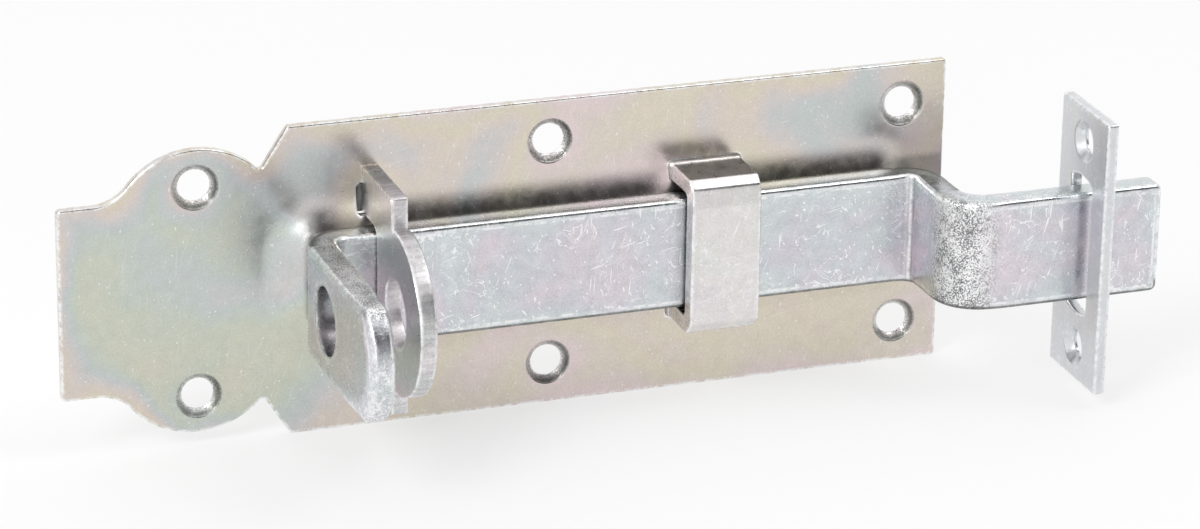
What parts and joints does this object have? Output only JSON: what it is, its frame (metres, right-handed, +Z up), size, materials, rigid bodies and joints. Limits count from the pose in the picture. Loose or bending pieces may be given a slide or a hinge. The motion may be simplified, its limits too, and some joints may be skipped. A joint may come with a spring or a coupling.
{
  "type": "cranked padlock bolt",
  "caption": "Cranked flat slide bolt on a pressed back plate, with padlock staple, guide loop and a slotted striker plate.",
  "frame": {"origin": "back of the plate, at the centre of its four right-hand screw holes", "axes": "+X the way the bolt is thrown, -Y out of the door towards the hand, +Z up"},
  "size_m": [0.191, 0.0463, 0.056],
  "materials": {
    "plate_zinc": "bright zinc plated sheet steel with an iridescent passivation",
    "bar_zinc": "bright zinc plated flat bar, scratched",
    "staple_zinc": "bright zinc plated stamped steel",
    "loop_zinc": "bright zinc plated strap",
    "striker_zinc": "bright zinc plated plate"
  },
  "bodies": {
    "fixed_parts": {"base_plate": "plate_zinc", "padlock_staple": "staple_zinc", "guide_loop": "loop_zinc", "striker_plate": "striker_zinc"},
    "bolt": {"bolt": "bar_zinc"}
  },
  "joints": [
    {"name": "bolt_slide", "type": "slide", "parent": "fixed_parts", "child": "bolt", "axis": [-1, 0, 0], "range_m": [-0.0064, 0.029]}
  ]
}
